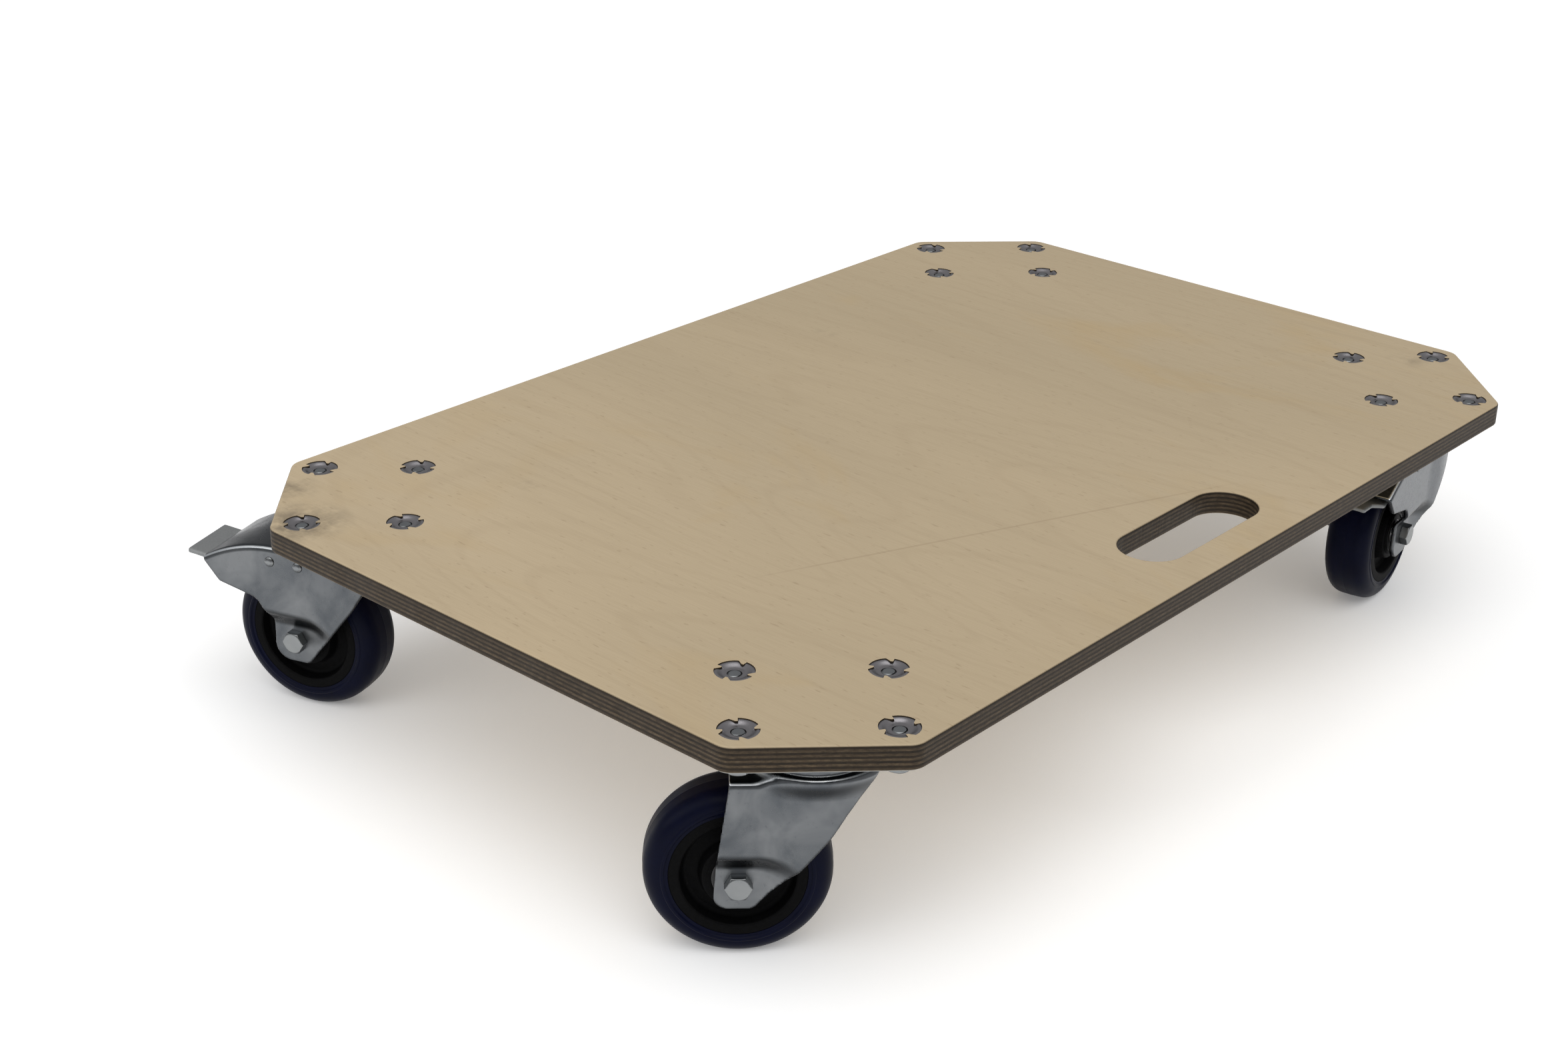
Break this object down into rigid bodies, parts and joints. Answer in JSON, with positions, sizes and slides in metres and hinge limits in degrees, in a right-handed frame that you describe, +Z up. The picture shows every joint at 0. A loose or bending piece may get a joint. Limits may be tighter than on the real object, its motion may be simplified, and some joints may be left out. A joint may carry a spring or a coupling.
{
  "type": "furniture dolly",
  "caption": "Rectangular plywood furniture dolly with cut corners, a hand slot and swivel castors, some with total-lock brake pedals.",
  "frame": {"origin": "centre of the deck's top face", "axes": "+X along the deck's long side, +Y away from the hand slot, +Z up; the floor is 146.5 mm below the origin"},
  "size_m": [0.7512, 0.5488, 0.1465],
  "materials": {
    "birch_plywood": "sanded birch face veneer, unvarnished, dark and light plies on the edge",
    "tee_nut_steel": "stamped steel, dull zinc",
    "zinc_fastener": "bright zinc plating",
    "zinc_plate": "zinc plated pressing",
    "zinc_fork": "bluish zinc plated pressing, bright bends",
    "ball_steel": "polished steel",
    "bearing_seal": "black rubber seal on a steel ring",
    "black_polyamide": "moulded, matte",
    "blue_rubber": "smooth elastic rubber, dark blue, satin",
    "pedal_steel": "matt grey zinc flake coat",
    "spring_steel": "oiled spring strip"
  },
  "bodies": {
    "deck": {"deck": "birch_plywood", "tee_nuts_front_left": "tee_nut_steel", "plate_bolts_front_left": "zinc_fastener", "top_plate_front_left": "zinc_plate", "kingpin_front_left": "zinc_plate", "tee_nuts_rear_left": "tee_nut_steel", "plate_bolts_rear_left": "zinc_fastener", "top_plate_rear_left": "zinc_plate", "kingpin_rear_left": "zinc_plate", "tee_nuts_front_right": "tee_nut_steel", "plate_bolts_front_right": "zinc_fastener", "top_plate_front_right": "zinc_plate", "kingpin_front_right": "zinc_plate", "tee_nuts_rear_right": "tee_nut_steel", "plate_bolts_rear_right": "zinc_fastener", "top_plate_rear_right": "zinc_plate", "kingpin_rear_right": "zinc_plate"},
    "swivel_front_left": {"fork_front_left": "zinc_fork", "swivel_balls_front_left": "ball_steel", "axle_bolt_front_left": "zinc_fastener", "axle_nut_front_left": "zinc_fastener", "axle_tube_front_left": "ball_steel"},
    "wheel_front_left": {"wheel_centre_front_left": "black_polyamide", "tyre_front_left": "blue_rubber", "wheel_bearings_front_left": "bearing_seal"},
    "swivel_rear_left": {"fork_rear_left": "zinc_fork", "swivel_balls_rear_left": "ball_steel", "axle_bolt_rear_left": "zinc_fastener", "axle_nut_rear_left": "zinc_fastener", "axle_tube_rear_left": "ball_steel", "pedal_pins_rear_left": "zinc_fastener", "brake_spring_rear_left": "spring_steel"},
    "wheel_rear_left": {"wheel_centre_rear_left": "black_polyamide", "tyre_rear_left": "blue_rubber", "wheel_bearings_rear_left": "bearing_seal"},
    "pedal_rear_left": {"brake_pedal_rear_left": "pedal_steel"},
    "swivel_front_right": {"fork_front_right": "zinc_fork", "swivel_balls_front_right": "ball_steel", "axle_bolt_front_right": "zinc_fastener", "axle_nut_front_right": "zinc_fastener", "axle_tube_front_right": "ball_steel", "pedal_pins_front_right": "zinc_fastener", "brake_spring_front_right": "spring_steel"},
    "wheel_front_right": {"wheel_centre_front_right": "black_polyamide", "tyre_front_right": "blue_rubber", "wheel_bearings_front_right": "bearing_seal"},
    "pedal_front_right": {"brake_pedal_front_right": "pedal_steel"},
    "swivel_rear_right": {"fork_rear_right": "zinc_fork", "swivel_balls_rear_right": "ball_steel", "axle_bolt_rear_right": "zinc_fastener", "axle_nut_rear_right": "zinc_fastener", "axle_tube_rear_right": "ball_steel"},
    "wheel_rear_right": {"wheel_centre_rear_right": "black_polyamide", "tyre_rear_right": "blue_rubber", "wheel_bearings_rear_right": "bearing_seal"}
  },
  "joints": [
    {"name": "swivel_front_left", "type": "hinge", "parent": "deck", "child": "swivel_front_left", "pos_m": [-0.307, -0.182, -0.015], "axis": [0, 0, 1], "continuous": true},
    {"name": "wheel_spin_front_left", "type": "hinge", "parent": "swivel_front_left", "child": "wheel_front_left", "pos_m": [-0.33404, -0.1539, -0.0965], "axis": [-0.7206, -0.6934, 0], "continuous": true},
    {"name": "swivel_rear_left", "type": "hinge", "parent": "deck", "child": "swivel_rear_left", "pos_m": [-0.307, 0.182, -0.015], "axis": [0, 0, 1], "continuous": true},
    {"name": "wheel_spin_rear_left", "type": "hinge", "parent": "swivel_rear_left", "child": "wheel_rear_left", "pos_m": [-0.31989, 0.21881, -0.0965], "axis": [-0.9438, -0.3305, 0], "continuous": true},
    {"name": "brake_pedal_rear_left", "type": "hinge", "parent": "swivel_rear_left", "child": "pedal_rear_left", "pos_m": [-0.3232, 0.22825, -0.0415], "axis": [-0.9438, -0.3305, 0], "range_deg": [0, 6.5]},
    {"name": "swivel_front_right", "type": "hinge", "parent": "deck", "child": "swivel_front_right", "pos_m": [0.307, -0.182, -0.015], "axis": [0, 0, 1], "continuous": true},
    {"name": "wheel_spin_front_right", "type": "hinge", "parent": "swivel_front_right", "child": "wheel_front_right", "pos_m": [0.26842, -0.1877, -0.0965], "axis": [0.1461, -0.9893, 0], "continuous": true},
    {"name": "brake_pedal_front_right", "type": "hinge", "parent": "swivel_front_right", "child": "pedal_front_right", "pos_m": [0.25853, -0.18916, -0.0415], "axis": [0.1461, -0.9893, 0], "range_deg": [0, 6.5]},
    {"name": "swivel_rear_right", "type": "hinge", "parent": "deck", "child": "swivel_rear_right", "pos_m": [0.307, 0.182, -0.015], "axis": [0, 0, 1], "continuous": true},
    {"name": "wheel_spin_rear_right", "type": "hinge", "parent": "swivel_rear_right", "child": "wheel_rear_right", "pos_m": [0.27257, 0.20031, -0.0965], "axis": [-0.4695, -0.8829, 0], "continuous": true}
  ]
}
